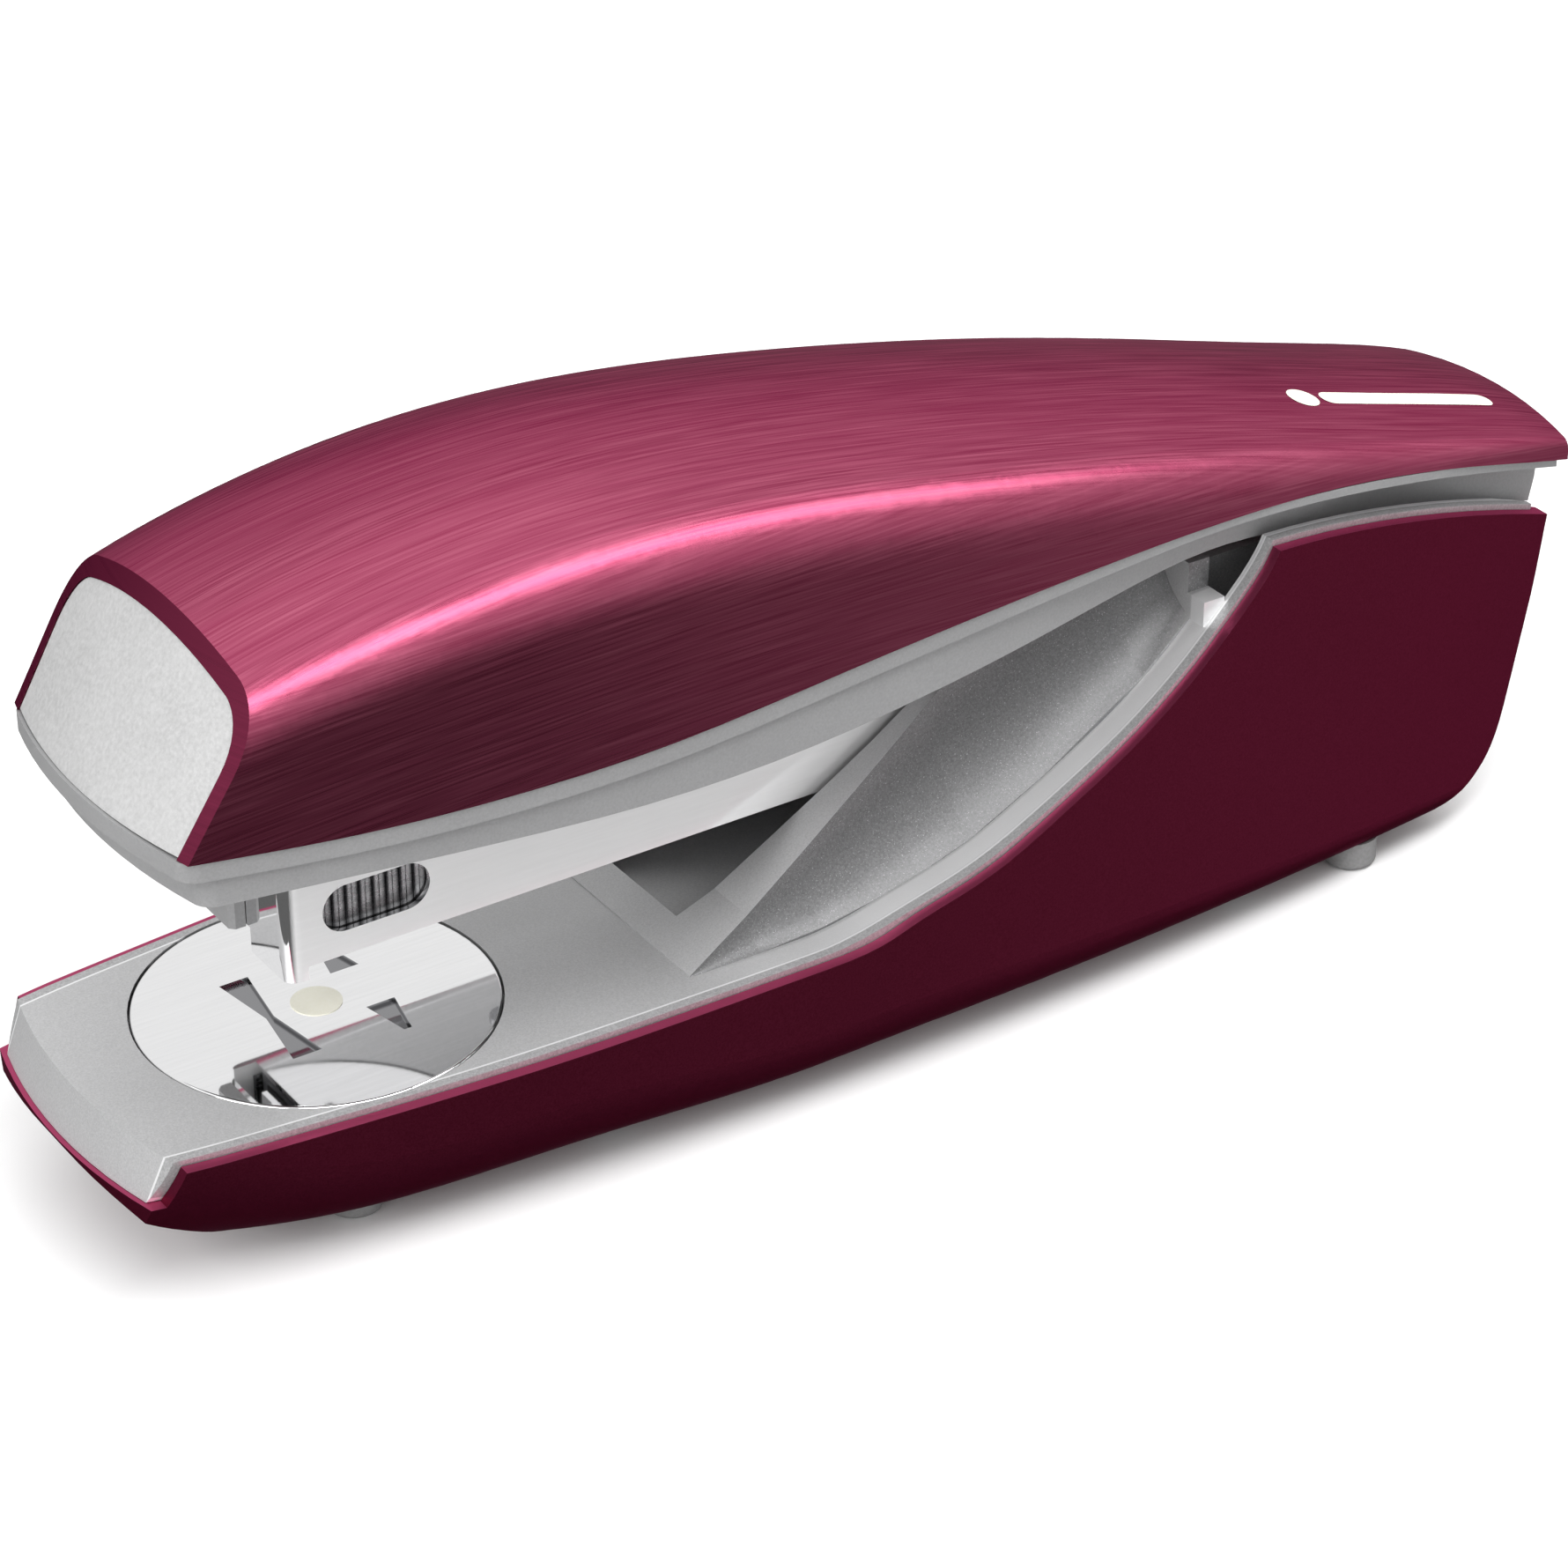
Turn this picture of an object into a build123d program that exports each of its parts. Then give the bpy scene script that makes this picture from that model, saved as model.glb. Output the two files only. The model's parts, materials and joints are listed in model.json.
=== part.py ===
from build123d import *
import math
import os

os.makedirs("parts", exist_ok=True)

# Half-strip desk stapler, in millimetres.  +X runs to the hinge, +Y to the far side, +Z up.
# The origin is on the table, under the middle of the length.  Every outline below is drawn
# from one datum: the centre of the anvil, on the deck surface.

# ---- driving dimensions ----
anvil_x = -56.75         # anvil centre along the stapler
deck_z = 16.5            # deck surface above the table
base_bottom = -14.3      # flat underside of the base, from the deck
shell_wall = 1.2         # burgundy base shell
shell_drop = 0.6         # the shell's top edge lies this far under the insert's edge
insert_wall = 1.6        # grey wall inside the shell, at the back
deck_t = 2.2
cover_wall = 1.4         # burgundy top cover
pin_x = 125.0            # hinge axis, from the datum
pin_z = 8.0
pin_r = 2.0
fit = 0.04               # running clearance of the bores on the pin
gap = 0.15               # gap between neighbouring plastic parts
far = 60.0               # reach of the trimming solids, well past the stapler
trim_half = 24.0         # half width of the bowed trims
least_radius = 0.3       # of a shoulder on the inside
front_radius = 60.0      # plan radius of the front edges
rear_radius = 75.0       # plan radius of the rear edges

anvil_r = 17.3
anvil_t = 1.0
groove_x = 4.86          # the two closing patterns, before and behind the centre
groove_half = 7.2
groove_depth = 0.45
button_r = 2.45

mag_half = 7.2           # magazine channel, outside half width
mag_wall = 0.6
mag_low = 9.2
mag_high = 20.0
mag_front = -6.3
pocket_half = 8.0
pocket_floor = -1.2
rail_half = 5.5
rail_wall = 0.8
rail_top = 16.0
rail_end = 104.0
staple_half = 6.4
staple_wire = 0.62
staple_pitch = 0.7
staple_count = 50
staple_leg = 6.2
strip_x = -3.9           # front face of the first staple
follower_len = 14.0
follower_top = 17.3
rod_r = 1.1
rod_z = 13.3
frame_half = 6.2         # hammer frame, inside the magazine walls
frame_t = 0.8
blade_t = 0.6
blade_x = -4.6
bracket_half = 9.2
bracket_t = 1.2
chassis_z = -13.0
chassis_t = 1.2

foot_r = 2.8
foot_rise = 1.0
foot_spots = [(-2.1, 9.4), (113.8, 13.4)]
post_spots = [(24.0, 13.5), (99.0, 13.7)]
post_r = 2.6

# Half width of the base in plan: distance from the datum, half width, lower corner radius.
base_plan = [(-30, 15.6, 15.0), (-20, 17.4, 14.4), (-10, 18.5, 10.4), (10, 20.3, 8.7), (30, 21.0, 7.3),
             (50, 21.2, 6.5), (72, 20.7, 6.0), (92, 19.3, 5.0), (110, 17.5, 4.0), (125, 15.5, 3.0),
             (142, 12.9, 2.5)]
# Top cover: station, half width, crown height, crown radius, shoulder radius.
cover_table = [(-27, 16.4, 39.6, 41, 6.5), (-13, 17.5, 46.5, 41, 6.5), (2, 18.9, 49.6, 46, 6.7),
               (22, 20.0, 51.0, 52, 7.0), (45, 20.5, 49.2, 55, 7.0), (70, 20.4, 44.8, 55, 6.8),
               (95, 18.9, 39.1, 52, 6.0), (120, 16.2, 32.2, 50, 3.6), (144, 12.5, 24.4, 55, 1.0)]
# Lower edge of the top cover, seen from the side.
cover_edge = [(-30, 31.3), (-19.9, 30.2), (-5, 28.9), (10, 28.4), (26, 28.7), (45, 30.5), (60, 31.8),
              (78, 32.6), (92, 32.3), (103, 31.2), (114, 29.3), (125, 26.8), (134, 24.3), (145, 21.1)]
# Lower edge of the housing skirt.
skirt_edge = [(-30, 25.6), (-19, 25.0), (-8, 24.4), (10, 23.3), (26, 22.6), (46, 23.5), (64, 25.8),
              (78, 27.2), (94, 27.2), (106, 25.2), (125, 20.6), (145, 15.6)]
# Half width of the skirt: flush at the front, and inside the base walls at the back.
skirt_plan = [(-30, 15.0), (-19, 16.1), (-10, 16.9), (10, 18.4), (30, 19.3), (50, 19.6), (66, 19.2),
              (80, 17.4), (92, 15.6), (106, 13.8), (117, 11.3), (125, 11.1), (145, 9.0)]
skirt_wall = 1.3
# Lower edge of the lip that fills the step between the cover and the skirt.
lip_edge = [(-30, 29.3), (-19.9, 28.2), (-5, 26.9), (10, 26.4), (26, 26.7), (45, 28.5), (60, 30.0),
            (78, 31.3), (92, 31.3), (103, 30.2), (114, 28.3), (125, 25.8), (134, 23.3), (145, 20.1)]
# Top edge of the base, seen from the side: up the flank from the deck, and along its top.
rim_edge = [(43, 0), (53.3, 1.7), (61.6, 3.8), (70, 7.4), (78.8, 11.8), (87.6, 17.6), (93.5, 22.7),
            (97.4, 27.4)]
flank_edge = [(97.4, 27.4), (109, 25.8), (122.3, 22.6), (137.4, 17.6)]
# Underside of the base, seen from the side.
nose_under = [(-27.4, -4.4), (-26.4, -5.6), (-23.6, -7.8), (-20, -10.3), (-16, -12.6), (-11, -13.9),
              (-5, base_bottom)]
tail_under = [(112, base_bottom), (124, -13.4), (130.5, -9.6), (133.4, -2.5), (135.4, 6), (137.2, 16.0)]
deck_front = -22.3       # where the lip leaves the deck
lip_foot_front = -26.8   # foot of the lip on the centre line
lip_foot = -4.4
lip_back = -22.0
# Central tower of the insert: station, crest half width, crest height, foot half width, foot height.
tower = [(31, 15.8, 0.1, 15.9, 0.0), (38.8, 13.7, 3.0, 16.0, 0.0), (45.9, 12.5, 7.0, 16.0, 0.4),
         (51.5, 11.5, 10.2, 16.0, 1.3), (57, 10.6, 13.5, 16.0, 2.5), (63, 9.8, 17.5, 15.9, 4.3),
         (72, 9.4, 22.5, 15.6, 8.4), (84, 9.3, 25.6, 15.0, 15.2), (91, 9.3, 26.0, 14.4, 20.6)]


# ---- planes and outlines from the datum ----
def deck_plane(height):
    return Plane(origin=(anvil_x, 0, deck_z + height))


def side_plane(y=0):
    return Plane(origin=(anvil_x, y, deck_z), x_dir=(1, 0, 0), z_dir=(0, -1, 0))


def cross_plane(x):
    return Plane(origin=(anvil_x + x, 0, deck_z), x_dir=(0, 1, 0), z_dir=(1, 0, 0))


def sag(radius, half):
    """Height of an arc of this radius over a chord of this half width."""
    return radius - math.sqrt(radius ** 2 - half ** 2)


def box(x0, x1, y0, y1, z0, z1):
    """A plain block between two corners, measured from the datum."""
    with BuildPart() as block:
        with BuildSketch(deck_plane(z0)):
            with Locations(((x0 + x1) / 2, (y0 + y1) / 2)):
                Rectangle(x1 - x0, y1 - y0)
        extrude(amount=z1 - z0)
    return block.part


def rod(x, y, z, radius, length, axis="z"):
    """A round bar that starts at a point and runs along +Z, +X, or both ways along Y."""
    planes = {"z": Plane(origin=(anvil_x + x, y, deck_z + z)),
              "x": Plane(origin=(anvil_x + x, y, deck_z + z), x_dir=(0, 1, 0), z_dir=(1, 0, 0)),
              "y": Plane(origin=(anvil_x + x, y, deck_z + z), x_dir=(1, 0, 0), z_dir=(0, -1, 0))}
    with BuildPart() as bar:
        with BuildSketch(planes[axis]):
            Circle(radius)
        extrude(amount=length, both=axis == "y")
    return bar.part


def plan_face(stations, inset):
    """A plan outline, symmetric about the X axis."""
    with BuildSketch() as outline:
        with BuildLine():
            near = Spline(*[(s[0], inset - s[1]) for s in stations])
            Line(near @ 1, ((near @ 1).X, -(near @ 1).Y))
            away = Spline(*[(s[0], s[1] - inset) for s in reversed(stations)])
            Line(away @ 1, near @ 0)
        make_face()
    return outline.sketch


def bowed_face(front_x, rear_x):
    """Everything between a bowed front and a bowed rear."""
    nose_x = front_x + sag(front_radius, trim_half)
    tail_x = rear_x - sag(rear_radius, trim_half)
    with BuildSketch() as outline:
        with BuildLine():
            nose = ThreePointArc((nose_x, -trim_half), (front_x, 0), (nose_x, trim_half))
            rear = ThreePointArc((tail_x, trim_half), (rear_x, 0), (tail_x, -trim_half))
            Line(nose @ 1, rear @ 0)
            Line(rear @ 1, nose @ 0)
        make_face()
    return outline.sketch


def plan_solid(stations, inset, front_x, rear_x, low, high, corner=0.0):
    """A plan outline with bowed ends, pulled up between two heights, with rounded front corners."""
    with BuildPart() as solid:
        with BuildSketch(deck_plane(low)) as outline:
            add(plan_face(stations, inset))
            add(bowed_face(front_x, rear_x), mode=Mode.INTERSECT)
            if corner:
                fillet(outline.vertices().group_by(Axis.X)[0], corner)
        extrude(amount=high - low)
    return solid.part


def leaning_solid(stations, inset, front_x, rear_x, low, high, lean):
    """The same with sharp corners, and with the bowed front leaning back by lean per mm of height."""
    slope = math.hypot(lean, 1)
    with BuildPart() as solid:
        with BuildSketch(deck_plane(low)):
            add(plan_face(stations, inset))
        extrude(amount=high - low)
        with BuildSketch(deck_plane(low)):
            add(bowed_face(front_x, rear_x))
        extrude(amount=(high - low) * slope, dir=(lean / slope, 0, 1 / slope), mode=Mode.INTERSECT)
    return solid.part


def side_strip(lower, upper, rise_low=0.0, rise_high=0.0):
    """Everything between two side-view curves that share their end stations."""
    with BuildPart() as strip:
        with BuildSketch(side_plane()):
            with BuildLine():
                bottom = Spline(*[(x, z + rise_low) for x, z in lower])
                top = Spline(*[(x, z + rise_high) for x, z in upper])
                Line(bottom @ 1, top @ 1)
                Line(top @ 0, bottom @ 0)
            make_face()
        extrude(amount=far / 2, both=True)
    return strip.part


# ---- solids that several pieces are cut from ----
def base_tub(inset, floor):
    """The base's outer form, open at the top: plan width and rounded lower corners, station by station."""
    with BuildPart() as tub:
        for x, half, corner in base_plan:
            with BuildSketch(cross_plane(x)) as form:
                with Locations((0, floor)):
                    Rectangle(2 * (half - inset), far, align=(Align.CENTER, Align.MIN))
                fillet(form.vertices().group_by(Axis.Y)[0], corner - inset)
        loft()
    return tub.part


def keel(inset):
    """Everything above the base's underside, from the nose to the back edge, moved in by inset."""
    with BuildPart() as side:
        with BuildSketch(side_plane()):
            with BuildLine():
                nose = Spline(*[(x + inset, z + inset) for x, z in nose_under], tangents=[(0.3, -1), (1, 0)])
                tail = Spline(*[(x - inset, z + inset) for x, z in tail_under], tangents=[(1, 0), (0.15, 1)])
                Line(nose @ 1, tail @ 0)
                back_x = (tail @ 1).X + 0.6
                Polyline(tail @ 1, (back_x, (tail @ 1).Y + 3), (back_x, far), ((nose @ 0).X, far), nose @ 0)
            make_face()
        extrude(amount=far / 2, both=True)
    return side.part


def below_rim(drop):
    """Everything below the base's swept rim, which steps down in front to the foot of the lip."""
    with BuildPart() as side:
        with BuildSketch(side_plane()):
            with BuildLine():
                flank = Spline(*[(x, z - drop) for x, z in reversed(flank_edge)])
                rim = Spline(*[(x, z - drop) for x, z in reversed(rim_edge)], tangents=[(-0.5, -1), (-1, 0)])
                deck = Line(rim @ 1, (deck_front, -drop))
                step = Line(deck @ 1, (deck_front - 1.6, lip_foot - 0.05))
                Polyline(step @ 1, (-far, lip_foot - 0.05), (-far, -far), (145, -far),
                         (145, (flank @ 0).Y - 2), flank @ 0)
            make_face()
        extrude(amount=far / 2, both=True)
    return side.part


def cover_form(inset, low):
    """The top cover's outer form: crowned top, round shoulders and upright sides, station by station."""
    with BuildPart() as form:
        for x, half, crown, radius, shoulder in cover_table:
            w = half - inset
            r = radius - inset
            top = crown - inset
            with BuildSketch(cross_plane(x)) as section:
                with BuildLine():
                    arch = ThreePointArc((-w, top - sag(r, w)), (0, top), (w, top - sag(r, w)))
                    Polyline(arch @ 1, (w, low), (-w, low), arch @ 0)
                make_face()
                fillet(section.vertices().group_by(Axis.Y)[1], max(shoulder - inset, least_radius))
        loft()
    return form.part


wide_plan = [(-60, far / 2), (165, far / 2)]
cover_plan = [(station[0], station[1]) for station in cover_table]
cover_rake = 0.6         # the front leans back this much per mm of height
cover_front = -28.4      # front of the raked face on the centre line, 20 mm above the deck
cover_rear = 140.8


def raked_trim(set_back):
    """Everything behind the raked and bowed front face, moved back by set_back."""
    return leaning_solid(wide_plan, 0, cover_front + set_back, 160, 20, 58, cover_rake)


# =============================== base ===============================
inner_floor = base_bottom + shell_wall
shell_front = -27.3      # front of the base on the centre line
shell_rear = 139.0
shell_outside = base_tub(0, base_bottom)
shell_inside = base_tub(shell_wall, inner_floor)
base_nose = plan_solid(wide_plan, 0, shell_front, shell_rear, -20, 35)
base_inner_nose = plan_solid(wide_plan, 0, shell_front + shell_wall, 155, -20, 35)
rear_half = 11.7         # the base is open at the back, between its flanks
rear_opening = box(120, 150, -rear_half, rear_half, -7.5, 40)
lip_lean = 0.41

with BuildPart() as hollow:
    add(shell_inside)
    add(base_inner_nose, mode=Mode.INTERSECT)
    add(keel(shell_wall), mode=Mode.INTERSECT)

with BuildPart() as base_shell:
    add(shell_outside)
    add(keel(0), mode=Mode.INTERSECT)
    add(below_rim(shell_drop), mode=Mode.INTERSECT)
    add(base_nose, mode=Mode.INTERSECT)
    add(hollow.part, mode=Mode.SUBTRACT)
    add(rear_opening, mode=Mode.SUBTRACT)
    for x, y in foot_spots:
        for side in (-1, 1):
            add(rod(x, side * y, base_bottom - 1, foot_r + gap, foot_rise + 1), mode=Mode.SUBTRACT)
    for x, y in post_spots:
        for side in (-1, 1):
            add(rod(x, side * y, base_bottom - 1, post_r + gap, 3), mode=Mode.SUBTRACT)
base_shell.part.label = "base_shell"
export_step(base_shell.part, "parts/base_shell.step")

# The grey insert: deck and side bands, inner walls at the back, the tower with its scooped
# sides, and screw posts; cut by the magazine pocket and the anvil's recess.
insert_clear = shell_wall + 0.08
insert_outline = leaning_solid(base_plan, insert_clear, lip_foot_front, 137.6, lip_foot, 35, lip_lean)
insert_low_outline = plan_solid(base_plan, insert_clear, -40, 137.6, -20, 35)
inner_outline = plan_solid(base_plan, insert_clear + insert_wall, -60, 150, -21, 36)
insert_tub = base_tub(insert_clear, inner_floor + 0.1)
tower_half = 9.3

with BuildPart() as scoops:
    for x, crest, crest_z, foot, foot_z in tower:
        with BuildSketch(cross_plane(x)):
            with BuildLine():
                dip = 0.14 * math.hypot(foot - crest, crest_z - foot_z)
                angle = math.atan2(crest_z - foot_z, foot - crest)
                mid_y = (foot + crest) / 2 - dip * math.sin(angle)
                mid_z = (foot_z + crest_z) / 2 - dip * math.cos(angle)
                right = ThreePointArc((foot, foot_z), (mid_y, mid_z), (crest, crest_z))
                ridge = Line(right @ 1, (-crest, crest_z))
                left = ThreePointArc(ridge @ 1, (-mid_y, mid_z), (-foot, foot_z))
                Polyline(left @ 1, (-foot, foot_z - deck_t), (foot, foot_z - deck_t), right @ 0)
            make_face()
    loft(ruled=True)

with BuildPart() as deck_layer:
    with BuildSketch(side_plane()):
        with BuildLine():
            rim = Spline(*rim_edge, tangents=[(1, 0), (0.5, 1)])
            Line(rim @ 1, (rim @ 1) - (0, 2 * deck_t))
            band_under = [(x + 1.0, z - deck_t) for x, z in reversed(rim_edge[:-1])]
            under = Spline(*band_under, tangents=[(-0.6, -1), (-1, 0)])
            Line((rim @ 1) - (0, 2 * deck_t), under @ 0)
            Polyline(under @ 1, (lip_back, -deck_t), (lip_back, lip_foot), (-40, lip_foot), (-40, 0), rim @ 0)
        make_face()
    extrude(amount=far / 2, both=True)
    add(insert_outline, mode=Mode.INTERSECT)
    add(insert_tub, mode=Mode.INTERSECT)
    add(box(92.5, 150, -far, far, -20, 40), mode=Mode.SUBTRACT)

with BuildPart() as flank_walls:
    add(insert_low_outline)
    add(inner_outline, mode=Mode.SUBTRACT)
    add(insert_tub, mode=Mode.INTERSECT)
    add(keel(1.3), mode=Mode.INTERSECT)
    add(below_rim(0), mode=Mode.INTERSECT)
    add(box(89, 150, -far, far, -11.0, 40), mode=Mode.INTERSECT)

# Walls that close the scoops at the back, inside and below the housing's skirt: front and back
# ends, distances from the centre line, and height.
scoop_walls = [(90, 92.5, tower_half, 14.0, 25.5), (90, 92.5, 13.0, 16.6, 22.3), (92, 101, 11.4, 12.7, 24.5)]
wall_low = 12.0
post_low = chassis_z + chassis_t
pocket_front = 34.5
with BuildPart() as base_insert:
    add(deck_layer.part)
    add(scoops.part)
    add(flank_walls.part)
    for side in (-1, 1):
        for x0, x1, y0, y1, height in scoop_walls:
            add(box(x0, x1, min(y0 * side, y1 * side), max(y0 * side, y1 * side), wall_low, height))
        for (x, y), height in zip(post_spots, (-post_low - 1.0, 22.0)):
            add(rod(x, side * y, post_low, post_r, height))
    add(box(33, 93, -tower_half, tower_half, pocket_floor - 1.2, pocket_floor))
    add(box(pocket_front, 140, -pocket_half, pocket_half, pocket_floor, 40), mode=Mode.SUBTRACT)
    add(rod(0, 0, -anvil_t - 0.05, anvil_r + gap, 5), mode=Mode.SUBTRACT)
    add(rod(0, 0, -5, 1.5 + gap, 5), mode=Mode.SUBTRACT)
    add(rear_opening, mode=Mode.SUBTRACT)
    for x, y in post_spots:
        for side in (-1, 1):
            add(rod(x, side * y, -16, 0.95, 13), mode=Mode.SUBTRACT)
base_insert.part.label = "base_insert"
export_step(base_insert.part, "parts/base_insert.step")

# Steel chassis plate on the floor of the shell.
rivet_spots = [(103.0, -5.0), (103.0, 5.0)]
with BuildPart() as chassis_plate:
    add(plan_solid(base_plan, 7.3, 2.0, 111.0, chassis_z, chassis_z + chassis_t))
    for x, y in post_spots:
        for side in (-1, 1):
            add(rod(x, side * y, chassis_z - 1, 1.2, 4), mode=Mode.SUBTRACT)
    for x, y in rivet_spots:
        add(rod(x, y, chassis_z - 1, 1.3, 4), mode=Mode.SUBTRACT)
chassis_plate.part.label = "chassis_plate"
export_step(chassis_plate.part, "parts/chassis_plate.step")

with BuildPart() as base_screws:
    for x, y in post_spots:
        for side in (-1, 1):
            add(rod(x, side * y, base_bottom + 0.2, 2.3, 1.1))
            add(rod(x, side * y, base_bottom + 1.3, 0.9, 8.0))
            with BuildSketch(Plane(origin=(anvil_x + x, side * y, deck_z + base_bottom + 0.2))):
                Rectangle(2.6, 0.5)
                Rectangle(0.5, 2.6)
            extrude(amount=0.5, mode=Mode.SUBTRACT)
base_screws.part.label = "base_screws"
export_step(base_screws.part, "parts/base_screws.step")

# Four rubber feet in pockets of the shell.
feet = [(x, side * y) for x, y in foot_spots for side in (-1, 1)]
for number, (x, y) in enumerate(feet, start=1):
    with BuildPart() as foot:
        add(rod(x, y, -deck_z, foot_r, deck_z + base_bottom + foot_rise))
        fillet(foot.edges().group_by(Axis.Z)[0], 0.6)
    foot.part.label = f"rubber_foot_{number}"
    export_step(foot.part, f"parts/rubber_foot_{number}.step")


# =============================== hinge ===============================
with BuildPart() as hinge_bracket:
    with BuildSketch(side_plane()):
        Polygon((97, post_low), (113, post_low), (pin_x + 5.4, pin_z - 1), (pin_x - 4.6, pin_z + 3),
                align=None)
        with Locations((pin_x, pin_z)):
            Circle(5.5)
    extrude(amount=bracket_half, both=True)
    add(box(90, 140, bracket_t - bracket_half, bracket_half - bracket_t, post_low + bracket_t, 30),
        mode=Mode.SUBTRACT)
    add(rod(pin_x, 0, pin_z, pin_r, far / 2, "y"), mode=Mode.SUBTRACT)
    for x, y in rivet_spots:
        add(rod(x, y, chassis_z, 1.3, 6), mode=Mode.SUBTRACT)
hinge_bracket.part.label = "hinge_bracket"
export_step(hinge_bracket.part, "parts/hinge_bracket.step")

with BuildPart() as bracket_rivets:
    for x, y in rivet_spots:
        add(rod(x, y, chassis_z, 1.3, chassis_t + bracket_t))
        add(rod(x, y, post_low + bracket_t, 2.2, 0.8))
bracket_rivets.part.label = "bracket_rivets"
export_step(bracket_rivets.part, "parts/bracket_rivets.step")

pin_half = 10.9
clip_y = 9.6
with BuildPart() as hinge_pin:
    add(rod(pin_x, 0, pin_z, pin_r, pin_half, "y"))
    chamfer(hinge_pin.edges().filter_by(GeomType.CIRCLE), 0.4)
    for side in (-1, 1):
        with BuildSketch(side_plane(side * (clip_y + 0.3))):
            with Locations((pin_x, pin_z)):
                Circle(pin_r + 1)
                Circle(pin_r - 0.5, mode=Mode.SUBTRACT)
        extrude(amount=0.3, both=True, mode=Mode.SUBTRACT)
hinge_pin.part.label = "hinge_pin"
export_step(hinge_pin.part, "parts/hinge_pin.step")

with BuildPart() as pin_clips:
    for side in (-1, 1):
        with BuildSketch(side_plane(side * (clip_y + 0.3))):
            with Locations((pin_x, pin_z)):
                Circle(3.5)
                Circle(pin_r - 0.45, mode=Mode.SUBTRACT)
            with Locations((pin_x, pin_z - 3)):
                Rectangle(2.4, 5, mode=Mode.SUBTRACT)
        extrude(amount=0.25, both=True)
pin_clips.part.label = "pin_clips"
export_step(pin_clips.part, "parts/pin_clips.step")

bush_r = 3.2
with BuildPart() as pin_bush:
    add(rod(pin_x, 0, pin_z, bush_r, 5.2, "y"))
    add(rod(pin_x, 0, pin_z, pin_r + fit, 6, "y"), mode=Mode.SUBTRACT)
pin_bush.part.label = "pin_bush"
export_step(pin_bush.part, "parts/pin_bush.step")

# Torsion spring wound round the bush.
coil_wire = 0.4
coil_r = 3.9
coil_half = 3.9
with BuildPart() as return_spring:
    with BuildLine():
        coil = Helix(pitch=1.1, height=2 * coil_half, radius=coil_r,
                     center=(anvil_x + pin_x, -coil_half, deck_z + pin_z), direction=(0, 1, 0))
    with BuildSketch(Plane(origin=coil @ 0, z_dir=coil % 0)):
        Circle(coil_wire)
    sweep()
return_spring.part.label = "return_spring"
export_step(return_spring.part, "parts/return_spring.step")

# Leaf spring under the magazine, arched from the pocket floor.
leaf_t = 0.5
leaf_x = 75.0
leaf_half = 16.0
leaf_foot = pocket_floor + 0.1
leaf_top = mag_low - 0.3
with BuildPart() as lift_spring:
    with BuildSketch(side_plane()):
        with BuildLine():
            low_arc = ThreePointArc((leaf_x - leaf_half, leaf_foot), (leaf_x, leaf_top - leaf_t),
                                    (leaf_x + leaf_half, leaf_foot))
            high_arc = ThreePointArc((leaf_x + leaf_half, leaf_foot + leaf_t), (leaf_x, leaf_top),
                                     (leaf_x - leaf_half, leaf_foot + leaf_t))
            Line(low_arc @ 1, high_arc @ 0)
            Line(high_arc @ 1, low_arc @ 0)
        make_face()
    extrude(amount=4.0, both=True)
lift_spring.part.label = "lift_spring"
export_step(lift_spring.part, "parts/lift_spring.step")

# =============================== anvil ===============================
# A turntable with a bow-tie groove for closed staples, and two outward slots for pins.
waist = 0.4
flare = 1.5
pin_slot_near = 3.4
pin_slot_far = 8.6
with BuildPart() as anvil_plate:
    add(rod(0, 0, -anvil_t, anvil_r, anvil_t))
    fillet(anvil_plate.edges().group_by(Axis.Z)[-1], 0.3)
    with BuildSketch(deck_plane(0)):
        Polygon((-groove_x - flare, -groove_half), (-groove_x + flare, -groove_half), (-groove_x + waist, 0),
                (-groove_x + flare, groove_half), (-groove_x - flare, groove_half), (-groove_x - waist, 0),
                align=None)
        for side in (-1, 1):
            Polygon((groove_x - flare, side * pin_slot_near), (groove_x + flare, side * pin_slot_near),
                    (groove_x + waist, side * pin_slot_far), (groove_x - waist, side * pin_slot_far),
                    align=None)
    extrude(amount=-groove_depth, mode=Mode.SUBTRACT)
    add(rod(0, 0, -anvil_t - 1, button_r, 3), mode=Mode.SUBTRACT)
anvil_plate.part.label = "anvil_plate"
export_step(anvil_plate.part, "parts/anvil_plate.step")

stem_r = 1.5
stem_low = -6.2
with BuildPart() as anvil_button:
    add(rod(0, 0, -anvil_t, button_r, anvil_t + 0.08))
    add(rod(0, 0, stem_low, stem_r, -stem_low - 0.2))
    add(rod(0, 0, stem_low, stem_r + 0.7, 0.7))
anvil_button.part.label = "anvil_button"
export_step(anvil_button.part, "parts/anvil_button.step")

with BuildPart() as anvil_washer:
    with BuildSketch(deck_plane(stem_low + 0.8)):
        Circle(3.6)
        Circle(stem_r + 0.2, mode=Mode.SUBTRACT)
    extrude(amount=0.4)
    with BuildSketch(deck_plane(stem_low + 1.2)):
        Circle(3.6)
        Circle(3.0, mode=Mode.SUBTRACT)
    extrude(amount=-deck_t - 0.1 - stem_low - 1.2)
anvil_washer.part.label = "anvil_washer"
export_step(anvil_washer.part, "parts/anvil_washer.step")

# ============================== magazine ==============================
channel_inner = mag_half - mag_wall
front_inner = mag_front + 0.55
exit_rear = -3.4
peg_heights = (13.5, 17.5)
peg_y = 3.4
peg_r = 0.6
channel_rivets = ((20, 0), (60, 3.0), (92, 3.0))
rivet_r = 1.0
with BuildPart() as channel_core:
    add(box(front_inner, 140, -channel_inner, channel_inner, mag_low + mag_wall, 30))
    fillet(channel_core.edges().filter_by(Axis.Z).group_by(Axis.X)[0], 0.9)

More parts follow.
